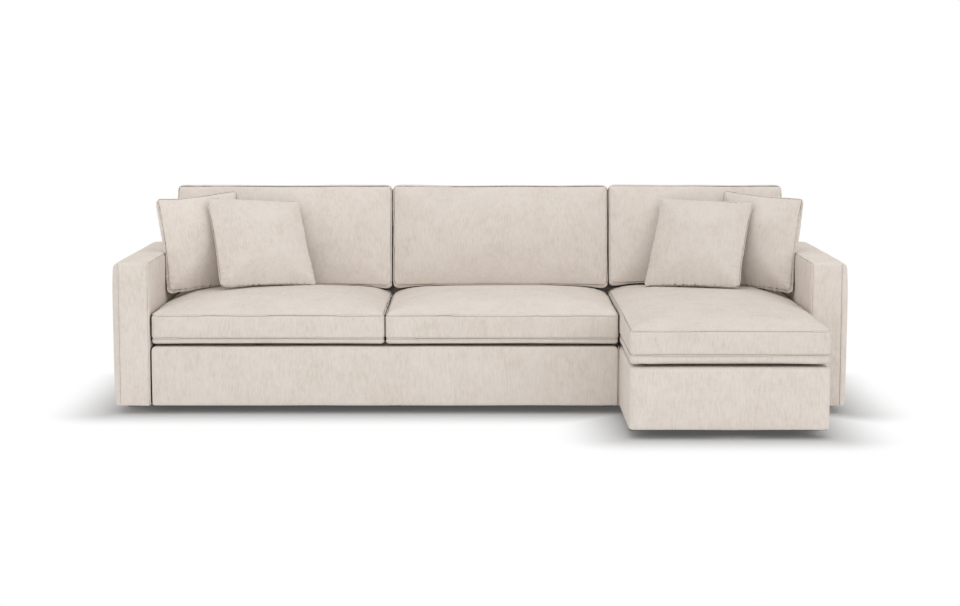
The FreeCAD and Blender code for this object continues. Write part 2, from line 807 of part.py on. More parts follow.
# Connectors under the joint: a tongue on the chaise pushes into a sprung jaw on the sofa
def connector(name, points, arcs, width, y):
    body = new_body(name)
    pad(body, draw(sketch_in(body, "XZ_Plane"), points, arcs), width)
    place(body, joint, y + width / 2, 0)
    return body


plate = s.connector_plate
plate_top = base_bottom - s.close_fit
slot_top = plate_top - plate
slot_bottom = slot_top - plate - 2 * s.fit
jaw_bottom = slot_bottom - plate
bend_out = (plate_top - jaw_bottom) / 2
bend_in = (slot_top - slot_bottom) / 2
bend_middle = (plate_top + jaw_bottom) / 2
mouth = -plate
jaw_end = -s.connector_length
jaw_points = [(mouth, plate_top), (jaw_end, plate_top), (jaw_end - bend_out, bend_middle),
              (jaw_end, jaw_bottom), (mouth, jaw_bottom), (mouth, slot_bottom),
              (jaw_end, slot_bottom), (jaw_end - bend_in, bend_middle), (jaw_end, slot_top),
              (mouth, slot_top)]
jaw_arcs = {1: bend_out, 2: bend_out, 6: -bend_in, 7: -bend_in}
tongue_top = slot_top - s.fit
tongue_low = tongue_top - plate
step = s.tongue_step
tongue_points = [(s.connector_length, plate_top), (2 * step - plate, plate_top),
                 (step - plate, tongue_top), (-s.tongue_reach, tongue_top),
                 (-s.tongue_reach, tongue_low), (step, tongue_low), (2 * step, slot_top),
                 (s.connector_length, slot_top)]
jaws = []
tongues = []
for number, y in enumerate((sofa_front + s.connector_setback, rear - s.connector_rear_inset)):
    jaws.append(connector(f"Jaw{number}", jaw_points, jaw_arcs, s.connector_width, y))
    tongues.append(connector(f"Tongue{number}", tongue_points, {}, s.tongue_width, y))
sub_parts["connector_jaws"] = group("ConnectorJaws", jaws)
sub_parts["connector_tongues"] = group("ConnectorTongues", tongues)


# Cushions
def arch(half, rise, shoulder, angle):
    """Half of a crown's outline: where its tight shoulder meets the long arc, and that radius."""
    p = half - shoulder * sine(angle)
    q = rise + shoulder * cosine(angle)
    long_radius = (p * p + q * q - shoulder * shoulder) / (2 * (q - shoulder))
    share = shoulder / (long_radius - shoulder)
    meet_x = p + p * share
    meet_z = (long_radius - q) * share - shoulder * cosine(angle)
    return meet_x, meet_z, long_radius


def crown_cut(body, role, half, depth, level, rise, shoulder, angle, up=1):
    """Cuts a cushion's face down to an arch that runs the cushion's whole depth."""
    meet_x, meet_z, long_radius = arch(half, rise, shoulder, angle)
    clear = shoulder
    points = [(half, level), (meet_x, level + up * meet_z), (-meet_x, level + up * meet_z),
              (-half, level), (-half - clear, level), (-half - clear, level + up * (rise + clear)),
              (half + clear, level + up * (rise + clear)), (half + clear, level)]
    arcs = {0: up * shoulder, 1: up * long_radius, 2: up * shoulder}
    sketch = draw(sketch_in(body, role, depth + clear), points, arcs)
    before = body.Tip
    cutting = pocket(body, sketch, 2 * (depth + clear))
    doc.recompute()
    if not cutting.Shape.Volume < (1 - least_cut) * before.Shape.Volume:
        raise RuntimeError(f"{cutting.Name} cuts nothing")


def plan_outline(half_x, half_y, turn, draw_in):
    """A rounded rectangle in plan whose sides are drawn in between its corners."""
    points = [(-half_x, -half_y + turn), (-half_x + turn, -half_y), (half_x - turn, -half_y),
              (half_x, -half_y + turn), (half_x, half_y - turn), (half_x - turn, half_y),
              (-half_x + turn, half_y), (-half_x, half_y - turn)]
    long_side = -bow(2 * (half_x - turn), draw_in)
    short_side = -bow(2 * (half_y - turn), draw_in)
    arcs = {0: turn, 1: long_side, 2: turn, 3: short_side, 4: turn, 5: long_side, 6: turn,
            7: short_side}
    return points, arcs


def box_cushion(name, width, depth, under, boxing, rise, corner, bevel, draw_in, shoulder, angle):
    """A boxed cushion, lying on its back in its own frame: rounded below, crowned above."""
    body = new_body(name)
    points, arcs = plan_outline(width / 2, depth / 2, corner, draw_in)
    pad(body, draw(sketch_in(body, "XY_Plane"), points, arcs), under + boxing + rise)
    doc.recompute()

    def foot_edge(edge, middle):
        return abs(middle.z) < hair

    bevel_edges(body, bevel, foot_edge)
    doc.recompute()
    level = under + boxing
    crown_cut(body, "XZ_Plane", width / 2, depth / 2, level, rise, shoulder, angle)
    crown_cut(body, "YZ_Plane", depth / 2, width / 2, level, rise, shoulder, angle)
    return body


seat_run = joint - sofa_arm_face
seat_width = (seat_run - s.arm_gap - s.cushion_gap - s.cushion_gap / 2) / 2
seat_depth = deck_rear - sofa_front
seat_middle_y = sofa_front + seat_depth / 2
first_x = sofa_arm_face + s.arm_gap + seat_width / 2
for number, name in enumerate(("left", "middle")):
    cushion = box_cushion(f"Seat{name.title()}", seat_width, seat_depth, s.seat_under, s.seat_boxing,
                          s.seat_crown, s.seat_corner, s.seat_bevel, s.seat_draw_in,
                          s.crown_shoulder, s.crown_angle)
    place(cushion, first_x + number * (seat_width + s.cushion_gap), seat_middle_y, cushion_bottom)
    sub_parts[f"seat_cushion_{name}"] = cushion

chaise_seat_low = joint + s.cushion_gap / 2
chaise_seat_width = chaise_base_right + s.fit - chaise_seat_low
chaise_seat_depth = deck_rear - chaise_front
cushion = box_cushion("SeatChaise", chaise_seat_width, chaise_seat_depth, s.chaise_under,
                      s.chaise_boxing, s.chaise_crown, s.seat_corner, s.seat_bevel, s.seat_draw_in,
                      s.crown_shoulder, s.crown_angle)
place(cushion, chaise_seat_low + chaise_seat_width / 2, chaise_front + chaise_seat_depth / 2,
      cushion_bottom)
sub_parts["chaise_cushion"] = cushion

# Back cushions lean on the covered back, square to it
lean_turn = [("X", 90 - s.rake)]
chaise_back_width = chaise_arm_face - s.arm_gap - chaise_seat_low
sofa_crown = cushion_bottom + s.seat_under + s.seat_boxing + s.seat_crown
chaise_crown = cushion_bottom + s.chaise_under + s.chaise_boxing + s.chaise_crown
back_places = [
    ("left", first_x, seat_width, s.back_cushion_height, sofa_crown, s.back_cushion_sink),
    ("middle", first_x + seat_width + s.cushion_gap, seat_width, s.back_cushion_height, sofa_crown,
     s.back_cushion_sink),
    ("right", chaise_seat_low + chaise_back_width / 2, chaise_back_width,
     s.chaise_back_cushion_height, chaise_crown, s.chaise_back_cushion_sink)]
for name, x, width, height, crown, sink in back_places:
    cushion = box_cushion(f"Back{name.title()}", width, height, s.back_cushion_under,
                          s.back_cushion_boxing, s.back_cushion_crown, s.back_cushion_corner,
                          s.back_cushion_bevel, s.back_cushion_draw_in, s.back_shoulder,
                          s.back_crown_angle)
    middle = (crown - deck_top) / cosine(s.rake) - sink + height / 2
    y = back_face(deck_top, -s.fit) + middle * sine(s.rake)
    z = deck_top + middle * cosine(s.rake)
    place(cushion, x, y, z, lean_turn)
    sub_parts[f"back_cushion_{name}"] = cushion


# Throw pillows: two in each corner, the inner one leaning on the outer one
def pillow(name):
    """A knife-edged square pillow, full in the middle, about its own middle plane."""
    body = new_body(name)
    half = s.pillow_size / 2
    points, arcs = plan_outline(half, half, s.pillow_corner, s.pillow_draw_in)
    level = s.pillow_edge / 2
    thickness = s.pillow_edge + 2 * s.pillow_rise
    pad(body, draw(sketch_in(body, "XY_Plane", -thickness / 2), points, arcs), thickness)
    doc.recompute()
    for up in (1, -1):
        for role in ("XZ_Plane", "YZ_Plane"):
            crown_cut(body, role, half, half, up * level, s.pillow_rise, s.pillow_shoulder,
                      s.pillow_crown_angle, up)
    return body


def place_pillow(name, side, edge_x, crown, lean, turn, tilt):
    """Stands a pillow in its corner, measured from the arm, the rear and the seat's crown."""
    body = pillow(name.title().replace("_", ""))
    inset, setback, height = (getattr(s, f"{name}_{way}") for way in ("inset", "setback", "height"))
    turns = [("Z", side * turn), ("X", 90 - lean), ("Z", side * tilt)]
    place(body, edge_x + side * inset, rear - setback, crown + height, turns)
    return body


for side_name, side, edge_x, crown in (("left", 1, sofa_arm_face, sofa_crown),
                                       ("right", -1, chaise_arm_face, chaise_crown)):
    sub_parts[f"throw_pillow_{side_name}_outer"] = place_pillow(
        f"{side_name}_outer_pillow", side, edge_x, crown, s.outer_pillow_lean, s.outer_pillow_turn, 0)
    sub_parts[f"throw_pillow_{side_name}_inner"] = place_pillow(
        f"{side_name}_inner_pillow", side, edge_x, crown, s.inner_pillow_lean, s.inner_pillow_turn,
        -s.inner_pillow_tilt)

doc.recompute()
for name, thing in sub_parts.items():
    thing.Label = name
faulty = [thing.Name for thing in doc.Objects if "Invalid" in thing.State or "Error" in thing.State]
if faulty:
    raise RuntimeError("These objects didn't build: " + ", ".join(faulty))
for name, thing in sub_parts.items():
    if thing.Shape.isNull() or not thing.Shape.isValid() or not thing.Shape.Solids:
        raise RuntimeError(f"{name} has no sound shape")
os.makedirs("parts", exist_ok=True)
for name, thing in sub_parts.items():
    thing.Shape.exportStep(f"parts/{name}.step")
print(len(sub_parts), "sub-parts written")
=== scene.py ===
import json
import math

import bmesh
import bpy
import numpy as np
from mathutils import Euler, Matrix, Vector, kdtree, noise


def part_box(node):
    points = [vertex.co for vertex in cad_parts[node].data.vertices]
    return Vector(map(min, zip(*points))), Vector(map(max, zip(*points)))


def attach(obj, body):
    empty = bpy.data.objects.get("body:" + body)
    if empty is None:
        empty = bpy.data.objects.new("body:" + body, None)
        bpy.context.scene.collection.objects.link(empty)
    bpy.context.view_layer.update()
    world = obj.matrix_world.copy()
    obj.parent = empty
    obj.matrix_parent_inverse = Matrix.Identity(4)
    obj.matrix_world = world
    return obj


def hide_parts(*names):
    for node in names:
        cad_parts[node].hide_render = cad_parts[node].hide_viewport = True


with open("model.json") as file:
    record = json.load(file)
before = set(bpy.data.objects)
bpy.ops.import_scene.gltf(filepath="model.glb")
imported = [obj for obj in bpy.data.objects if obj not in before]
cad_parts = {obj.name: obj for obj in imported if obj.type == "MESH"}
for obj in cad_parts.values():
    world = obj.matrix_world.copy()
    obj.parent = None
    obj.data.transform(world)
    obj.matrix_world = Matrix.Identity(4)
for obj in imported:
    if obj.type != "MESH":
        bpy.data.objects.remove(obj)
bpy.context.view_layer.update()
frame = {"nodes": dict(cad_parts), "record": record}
print("frame loaded,", len(frame["nodes"]), "nodes")

studio = {
    "lens": 74.32,  # millimetres on a 36 mm sensor
    "eye": (0.0, -8.447, 1.476),
    "pitch": 6.947,  # degrees below level
    "worldLight": 0.945,
    "skyColor": (1.0, 1.0, 1.0),
    "keyPlace": (-1.0, -9.0, 3.0), "keySize": 4.0, "keyPower": 72,
    "fillPlace": (5.5, -7.0, 3.4), "fillSize": 4.0, "fillPower": 52,
    "topPlace": (0.0, -0.8, 4.6), "topSize": 5.0, "topPower": 24,
    "floorColor": (0.90, 0.90, 0.895), "shadowColor": (0.53, 0.53, 0.53), "floorHalf": 40.0,
    # the floor near the two boxes that the sofa stands in shows its shadow on the darker shadowColor,
    # painted shade that deepens it, and beyond it is white
    "whiteFrom": -0.06, "whiteBeyond": 0.30,
    "stands": (((0.0, 0.285), (1.55, 0.49)), ((0.985, -0.3), (0.395, 0.475))),  # middles and halves
}

linenLook = {
    "light": (0.735, 0.676, 0.622), "middle": (0.672, 0.612, 0.560), "brown": (0.575, 0.503, 0.437),
    "slubWidth": 0.0024, "slubLength": 0.026, "broadWidth": 0.0046, "broadLength": 0.042,
    "mottleSize": 0.13, "yarn": 0.0023, "roughness": 0.92, "specular": 0.18,
    "bump": 0.32, "bumpDepth": 0.0009,
    # how much the fine and broad slubs, the mottle, the cross threads and the small mottle count
    "shares": (0.52, 0.42, 0.34, 0.20, 0.14), "offset": -0.31, "stops": (0.24, 0.50, 0.76),
}
# painted shade in the joins: its near-black colour, how far the ambient occlusion looks in the fabrics and
# in the deck cloth, and how it turns into a mix amount
creviceShade = {"color": (0.030, 0.024, 0.020), "reach": 0.012, "deckReach": 0.03, "gain": 2.0, "offset": -0.24}


# Working tools
def putDownAll():
    active = bpy.context.view_layer.objects.active
    if active and active.mode != "OBJECT":
        bpy.ops.object.mode_set(mode="OBJECT")
    bpy.ops.object.select_all(action="DESELECT")


def takeUp(piece):
    putDownAll()
    bpy.context.view_layer.objects.active = piece
    piece.select_set(True)


def pointsOf(piece):
    flat = np.empty(len(piece.data.vertices) * 3, np.float32)
    piece.data.vertices.foreach_get("co", flat)
    return flat.reshape(-1, 3).astype(float)


def normalsOf(piece):
    flat = np.empty(len(piece.data.vertices) * 3, np.float32)
    piece.data.vertices.foreach_get("normal", flat)
    return flat.reshape(-1, 3).astype(float)


def setPoints(piece, points):
    piece.data.vertices.foreach_set("co", points.astype(np.float32).ravel())
    piece.data.update()


def applyModifiers(piece):
    takeUp(piece)
    for modifier in list(piece.modifiers):
        bpy.ops.object.modifier_apply(modifier=modifier.name)


def smoothOver(piece, times):
    relax = piece.modifiers.new("Relax", "SMOOTH")
    relax.iterations = times
    applyModifiers(piece)


def remeshEvenly(piece, voxel):
    takeUp(piece)
    piece.data.remesh_voxel_size = voxel
    piece.data.remesh_voxel_adaptivity = 0
    bpy.ops.object.voxel_remesh()


def subdivideOnce(piece):
    finer = piece.modifiers.new("Finer", "SUBSURF")
    finer.levels = 1
    finer.render_levels = 1
    applyModifiers(piece)


def addWall(piece, thickness):
    # gives an open sheet a wall inwards
    solid = piece.modifiers.new("Wall", "SOLIDIFY")
    solid.thickness = thickness
    solid.offset = -1
    applyModifiers(piece)


def treeOf(spots):
    tree = kdtree.KDTree(len(spots))
    for number, spot in enumerate(spots):
        tree.insert(spot, number)
    tree.balance()
    return tree


def unevenness(points, size, seed):
    # one smooth random value a point, from -1 to 1
    shift = Vector((seed * 7.3, seed * 3.1, seed * 5.7))
    return np.array([noise.noise(Vector(p) / size + shift) for p in points])


def alongNormals(piece, amounts):
    # moves each point along its normal
    setPoints(piece, pointsOf(piece) + normalsOf(piece) * np.reshape(amounts, (-1, 1)))


def smoothStep(low, high, values):
    t = np.clip((values - low) / (high - low), 0, 1)
    return t * t * (3 - 2 * t)


def joinInto(piece, others):
    putDownAll()
    for other in others:
        other.select_set(True)
    piece.select_set(True)
    bpy.context.view_layer.objects.active = piece
    bpy.ops.object.join()


def finishPiece(piece, body, node):
    takeUp(piece)
    bpy.ops.object.shade_smooth_by_angle(angle=math.radians(50))
    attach(piece, body)
    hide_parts(node)
    print(piece.name, "finished,", len(piece.data.polygons), "faces")


# Materials
def startMaterial(name):
    material = bpy.data.materials.new(name)
    material.use_nodes = True
    tree = material.node_tree
    shader = tree.nodes["Principled BSDF"]
    return material, tree, shader


def addNode(tree, kind, **settings):
    node = tree.nodes.new(kind)
    for key, value in settings.items():
        setattr(node, key, value)
    return node


def stretchedNoise(tree, source, scale, detail=2.0, roughness=0.5):
    stretch = addNode(tree, "ShaderNodeMapping")
    stretch.inputs["Scale"].default_value = scale
    texture = addNode(tree, "ShaderNodeTexNoise")
    texture.inputs["Scale"].default_value = 1.0
    texture.inputs["Detail"].default_value = detail
    texture.inputs["Roughness"].default_value = roughness
    tree.links.new(source, stretch.inputs["Vector"])
    tree.links.new(stretch.outputs["Vector"], texture.inputs["Vector"])
    return texture.outputs["Fac"]


def mathNode(tree, operation, first, second=None, third=None, clamp=False):
    node = addNode(tree, "ShaderNodeMath", operation=operation, use_clamp=clamp)
    for number, value in enumerate((first, second, third)):
        if value is None:
            continue
        if isinstance(value, (int, float)):
            node.inputs[number].default_value = value
        else:
            tree.links.new(value, node.inputs[number])
    return node.outputs[0]


def between(tree, amount, first, second):
    # first where amount is 0, second where it is 1
    node = addNode(tree, "ShaderNodeMix", data_type="FLOAT")
    tree.links.new(amount, node.inputs[0])
    tree.links.new(first, node.inputs[2])
    tree.links.new(second, node.inputs[3])
    return node.outputs[0]


def ramp(tree, amount, stops):
    node = addNode(tree, "ShaderNodeValToRGB")
    elements = node.color_ramp.elements
    while len(elements) < len(stops):
        elements.new(0.5)
    for element, (place, color) in zip(elements, stops):
        element.position = place
        element.color = (*color, 1)
    tree.links.new(amount, node.inputs["Fac"])
    return node.outputs["Color"]


def bands(tree, source, axis, period):
    wave = addNode(tree, "ShaderNodeTexWave", wave_type="BANDS", bands_direction=axis)
    wave.inputs["Scale"].default_value = math.pi / (10 * period)
    wave.inputs["Distortion"].default_value = 0.6
    wave.inputs["Detail"].default_value = 1.0
    tree.links.new(source, wave.inputs["Vector"])
    return wave.outputs["Fac"]


def addBump(tree, shader, height, look):
    bump = addNode(tree, "ShaderNodeBump")
    bump.inputs["Strength"].default_value = look["bump"]
    bump.inputs["Distance"].default_value = look["bumpDepth"]
    tree.links.new(height, bump.inputs["Height"])
    tree.links.new(bump.outputs["Normal"], shader.inputs["Normal"])


def paintCreviceShade(tree, color, reach):
    # painted shade: little light gets into the joins between soft pieces, so an ambient occlusion node
    # darkens the base colour there towards a near-black
    closeness = addNode(tree, "ShaderNodeAmbientOcclusion", samples=6)
    closeness.inputs["Distance"].default_value = reach
    openness = mathNode(tree, "MULTIPLY_ADD", closeness.outputs["AO"], creviceShade["gain"],
                        creviceShade["offset"], clamp=True)
    mix = addNode(tree, "ShaderNodeMix", data_type="RGBA")
    mix.inputs[6].default_value = (*creviceShade["color"], 1)
    tree.links.new(openness, mix.inputs[0])
    tree.links.new(color, mix.inputs[7])
    return mix.outputs[2]


def makeLinen(name, own=None, paintedLightGain=1.0, seed=0.0):
    # own is the piece's own frame where it lies turned, such as a pillow; its face is then across Z
    look = linenLook
    material, tree, shader = startMaterial(name)
    place = addNode(tree, "ShaderNodeTexCoord").outputs["Object"]
    turned = addNode(tree, "ShaderNodeMapping", vector_type="TEXTURE")
    if own:
        turned.inputs["Location"].default_value = own.to_translation()
        turned.inputs["Rotation"].default_value = own.to_euler()
    else:
        turned.inputs["Location"].default_value = (seed * 3.1, seed * 1.7, seed * 2.3)
    tree.links.new(place, turned.inputs["Vector"])
    place = turned.outputs["Vector"]

    def slubs(width, length, detail):
        upright = stretchedNoise(tree, place, (1 / width, 1 / width, 1 / length), detail)
        lying = stretchedNoise(tree, place, (1 / width, 1 / length, 1 / width), detail)
        return upright, lying

    fineUp, fineFlat = slubs(look["slubWidth"], look["slubLength"], 3.0)
    broadUp, broadFlat = slubs(look["broadWidth"], look["broadLength"], 2.0)
    if own:
        fine, broad = fineFlat, broadFlat
    else:
        facing = addNode(tree, "ShaderNodeSeparateXYZ")
        tree.links.new(addNode(tree, "ShaderNodeTexCoord").outputs["Normal"], facing.inputs[0])
        up = mathNode(tree, "ABSOLUTE", facing.outputs["Z"])
        lying = mathNode(tree, "MULTIPLY_ADD", up, 5.0, -3.0, clamp=True)
        fine = between(tree, lying, fineUp, fineFlat)
        broad = between(tree, lying, broadUp, broadFlat)
    across = stretchedNoise(tree, place, (1 / look["slubLength"], 1 / look["slubWidth"],
                                          1 / look["slubWidth"]), 2.0)
    mottle = stretchedNoise(tree, place, (1 / look["mottleSize"],) * 3, 3.0, 0.6)
    small = stretchedNoise(tree, place, (4 / look["mottleSize"],) * 3, 2.0)
    mixed = 0.0
    for pattern, share in zip((fine, broad, mottle, across, small), look["shares"]):
        mixed = mathNode(tree, "MULTIPLY_ADD", pattern, share, mixed)
    mixed = mathNode(tree, "ADD", mixed, look["offset"])
    # the gain scales the tones: above 1 it is painted light, below 1 painted shade, for pieces that render
    # darker or lighter than the rest
    tones = [tuple(c * paintedLightGain for c in look[key]) for key in ("brown", "middle", "light")]
    color = ramp(tree, mixed, list(zip(look["stops"], tones)))
    # the fabric's colour gets painted shade in its crevices
    tree.links.new(paintCreviceShade(tree, color, creviceShade["reach"]), shader.inputs["Base Color"])

    warp = bands(tree, place, "X", look["yarn"])
    weft = bands(tree, place, "Y" if own else "Z", look["yarn"] * 1.3)
    depth = bands(tree, place, "Y", look["yarn"] * 1.15)
    weave = mathNode(tree, "MULTIPLY_ADD", weft, 0.5, mathNode(tree, "MULTIPLY", warp, 0.5))
    if not own:
        weave = mathNode(tree, "MULTIPLY_ADD", depth, 0.5, weave)
    height = mathNode(tree, "MULTIPLY_ADD", fine, 1.1, mathNode(tree, "MULTIPLY", weave, 0.55))
    addBump(tree, shader, height, look)
    shader.inputs["Roughness"].default_value = look["roughness"]
    shader.inputs["Specular IOR Level"].default_value = look["specular"]
    return material


def makePlain(name, look):
    # a mottled, finely bumped finish for what lies inside or underneath
    material, tree, shader = startMaterial(name)
    place = addNode(tree, "ShaderNodeTexCoord").outputs["Object"]
    grain = stretchedNoise(tree, place, look["grain"], 3.0, 0.6)
    broad = stretchedNoise(tree, place, tuple(g / 7 for g in look["grain"]), 2.0)
    mixed = mathNode(tree, "MULTIPLY_ADD", grain, 0.6, mathNode(tree, "MULTIPLY", broad, 0.4))
    color = ramp(tree, mixed, [(0.3, look["dark"]), (0.7, look["light"])])
    # where a look has a reach, its colour gets painted shade in the crevices
    if "reach" in look:
        color = paintCreviceShade(tree, color, look["reach"])
    tree.links.new(color, shader.inputs["Base Color"])
    addBump(tree, shader, grain, look)
    shader.inputs["Roughness"].default_value = look["roughness"]
    shader.inputs["Metallic"].default_value = look.get("metallic", 0.0)
    return material


plainLooks = {
    "pine": {"dark": (0.46, 0.27, 0.12), "light": (0.70, 0.49, 0.27), "grain": (6, 90, 90),
             "roughness": 0.62, "bump": 0.25, "bumpDepth": 0.0008},
    "wadding": {"dark": (0.74, 0.72, 0.66), "light": (0.86, 0.84, 0.79), "grain": (160, 160, 160),
                "roughness": 0.95, "bump": 0.6, "bumpDepth": 0.003},
    "deckCloth": {"dark": (0.55, 0.48, 0.42), "light": (0.66, 0.59, 0.53), "grain": (420, 420, 420),
                  "roughness": 0.93, "bump": 0.4, "bumpDepth": 0.001, "reach": creviceShade["deckReach"]},
    "webbing": {"dark": (0.018, 0.017, 0.016), "light": (0.06, 0.056, 0.052), "grain": (600, 600, 300),
                "roughness": 0.85, "bump": 0.5, "bumpDepth": 0.001},
    "dustCloth": {"dark": (0.008, 0.008, 0.008), "light": (0.022, 0.022, 0.022),
                  "grain": (500, 500, 500), "roughness": 0.9, "bump": 0.4, "bumpDepth": 0.0006},
    "footPlastic": {"dark": (0.010, 0.010, 0.010), "light": (0.020, 0.019, 0.018),
                    "grain": (900, 900, 900), "roughness": 0.48, "bump": 0.3, "bumpDepth": 0.0004},
    "zincSteel": {"dark": (0.42, 0.42, 0.43), "light": (0.62, 0.62, 0.62), "grain": (40, 900, 900),
                  "roughness": 0.34, "bump": 0.12, "bumpDepth": 0.0003, "metallic": 1.0},
}
plain = {name: makePlain(name, look) for name, look in plainLooks.items()}
linen = makeLinen("linen")
# the arms' colour is painted 3 % lighter: painted light for arms that catch less light than the rest
armLinen = makeLinen("armLinen", paintedLightGain=1.03)
weltLinen = makeLinen("weltLinen", seed=1.0)
print("materials made")


# Seams: a thin self welt laid along a path on a finished surface, in a shallow groove
welt = {"radius": 0.0023, "grooveDepth": 0.0062, "armGrooveDepth": 0.0016, "grooveWidth": 0.0056,
        "proud": 0.8, "spacing": 0.009, "backRadius": 0.0022}


def spacedOut(path, closed, spacing):
    # the same path, with points this far apart
    path = [Vector(p) for p in path]
    if closed:
        path.append(path[0])
    along = [0.0]
    for first, second in zip(path, path[1:]):
        along.append(along[-1] + (second - first).length)
    count = max(2, round(along[-1] / spacing))
    wanted = np.linspace(0, along[-1], count + 1)
    columns = [np.interp(wanted, along, [p[axis] for p in path]) for axis in range(3)]
    points = [Vector(p) for p in zip(*columns)]
    return points[:-1] if closed else points


def sinkGroove(piece, paths, depth=welt["grooveDepth"]):
    width = welt["grooveWidth"]
    tree = treeOf([p for path, closed in paths for p in spacedOut(path, closed, width / 2)])
    away = np.array([tree.find(p)[2] for p in pointsOf(piece)])
    alongNormals(piece, -depth * np.exp(-(away / width) ** 2))


def layWelt(piece, path, closed, name, radius):
    curve = bpy.data.curves.new(name, "CURVE")
    curve.dimensions = "3D"
    curve.bevel_depth = radius
    curve.bevel_resolution = 1
    curve.use_fill_caps = True
    spline = curve.splines.new("POLY")
    spots = []
    for p in spacedOut(path, closed, welt["spacing"]):
        found, spot, normal, _ = piece.closest_point_on_mesh(p)
        spots.append(spot + normal * radius * welt["proud"] if found else p)
    if closed:
        spots = [(spots[n - 1] + spots[n] * 2 + spots[(n + 1) % len(spots)]) / 4
                 for n in range(len(spots))]
    spline.points.add(len(spots) - 1)
    for point, spot in zip(spline.points, spots):
        point.co = (*spot, 1)
    spline.use_cyclic_u = closed
    tube = bpy.data.objects.new(name, curve)
    bpy.context.scene.collection.objects.link(tube)
    takeUp(tube)
    bpy.ops.object.convert(target="MESH")
    return bpy.context.view_layer.objects.active


def addWelts(piece, paths, radius=welt["radius"]):
    # the tubes join the piece and take its second material
    while len(piece.data.materials) < 2:
        piece.data.materials.append(weltLinen)
    tubes = []
    for number, (path, closed) in enumerate(paths):
        tube = layWelt(piece, path, closed, f"{piece.name}Welt{number}", radius)
        tube.data.materials.clear()
        tube.data.materials.append(weltLinen)
        tubes.append(tube)
    joinInto(piece, tubes)


# Cushions
rake = math.radians(10)
seatLook = {"voxel": 0.0095, "startSmaller": 0.0045, "cap": 0.009, "corner": 0.024, "drawIn": 0.003,
            "under": 0.022, "boxing": 0.102, "edgeGap": 0.0018, "unevenSize": 0.23, "uneven": 0.0022,
            "fill": 0.8}
# the chaise cushion's colour is painted 3 % darker: painted shade, as it lies nearer the lamps
chaiseLook = {**seatLook, "paintedLightGain": 0.97, "voxel": 0.0105, "under": 0.036, "boxing": 0.100}
backLook = {**seatLook, "voxel": 0.0085, "under": 0.018, "boxing": 0.112, "corner": 0.030,
            "drawIn": 0.002, "rise": 0.007, "cornerSag": 0.014, "unevenSize": 0.19, "uneven": 0.0028,
            "fill": 0.7}
pillowLook = {"voxel": 0.0062, "startSmaller": 0.003, "cap": 0.008, "corner": 0.024, "drawIn": 0.008,
              "unevenSize": 0.13, "uneven": 0.0030, "gather": 0.0020, "lowGather": 0.0075,
              "gatherReach": 0.034, "gatherSize": 0.013, "gatherRun": 0.09, "fill": 0.65}
box = {"press": 0.002, "flatten": 0.013, "clear": 0.0003, "underPower": 1.9}  # for all box cushions
backTurns = (("X", math.pi / 2 - rake),)
cushions = [
    {"node": "seat_cushion_left", "look": seatLook, "turns": ()},
    {"node": "seat_cushion_middle", "look": seatLook, "turns": ()},
    {"node": "chaise_cushion", "look": chaiseLook, "turns": ()},
    # painted light: the left back cushion is 3 % lighter where the pillows shade it
    {"node": "back_cushion_left", "look": backLook, "paintedLightGain": 1.03, "turns": backTurns},
    {"node": "back_cushion_middle", "look": backLook, "turns": backTurns},
    {"node": "back_cushion_right", "look": backLook, "turns": backTurns},
]
# turn, lean and tilt in degrees, then how the soft pillow has settled: aslant, sagging and moved
pillowPlaces = {
    "outer": {"turns": (43, 11, 0), "slant": 0.0, "sag": 0.018, "settle": (-0.007, 0.0, -0.010)},
    "inner": {"turns": (24, 29, -2), "slant": 0.045, "sag": 0.018, "settle": (0.007, 0.0, -0.004)},
}
for sideName, side in (("left", 1), ("right", -1)):
    for placeName, place in pillowPlaces.items():
        turn, lean, tilt = place["turns"]
        across, back, up = place["settle"]
        cushions.append({
            "node": f"throw_pillow_{sideName}_{placeName}", "look": pillowLook, "pillow": True,
            "lowSide": -1 if (sideName, placeName) == ("left", "outer") else 1,
            "slant": side * place["slant"], "sag": place["sag"],
            # painted light on the left outer pillow, which is turned away from the light, and painted
            # shade on the right inner pillow
            "paintedLightGain": {"left outer": 1.08, "right inner": 0.96}.get(f"{sideName} {placeName}", 1.0),
            "settle": (side * across, back, up),
            "turns": (("Z", math.radians(side * turn)), ("X", math.radians(90 - lean)),
                      ("Z", math.radians(side * tilt)))})


def ownFrame(nodeName, turns, centred):
    # the cushion's own frame: X its width, Y its depth or height, Z its thickness
    turning = Matrix.Identity(3)
    for axis, angle in turns:
        turning = turning @ Matrix.Rotation(angle, 3, axis)
    points = pointsOf(frame["nodes"][nodeName]) @ np.array(turning)
    low, high = points.min(0), points.max(0)
    middle = (low + high) / 2
    if not centred:
        middle[2] = low[2]
    own = turning.to_4x4()
    own.translation = turning @ Vector(middle)
    return own, high - low


def intoOwn(points, own):
    turning = np.array(own.to_3x3())
    return (points - np.array(own.to_translation())) @ turning


def outOfOwn(points, own):
    turning = np.array(own.to_3x3())
    return points @ turning.T + np.array(own.to_translation())


def drawnOutline(halfX, halfY, corner, drawIn, count=24):
    # a rounded rectangle whose sides are drawn in between its corners
    points = []
    for number in range(4):
        quarter = number * math.pi / 2
        along, out = (halfX, halfY) if number % 2 == 0 else (halfY, halfX)
        turning = Matrix.Rotation(quarter, 2)
        for step in range(count):
            t = -1 + 2 * step / count
            x = t * (along - corner)
            y = -out + drawIn * (1 - t * t)
            points.append(turning @ Vector((x, y)))
        for step in range(6):
            angle = -math.pi / 2 + math.pi / 2 * step / 6
            points.append(turning @ Vector((along - corner + corner * math.cos(angle),
                                            -out + corner + corner * math.sin(angle))))
    return points


def seamPaths(spec, own, size):
    look = spec["look"]
    outline = drawnOutline(size[0] / 2, size[1] / 2, look["corner"], look["drawIn"])
    levels = (0.0,) if spec.get("pillow") else (look["under"], look["under"] + look["boxing"])
    return [([own @ Vector((p.x, p.y, level)) for p in outline], True) for level in levels]


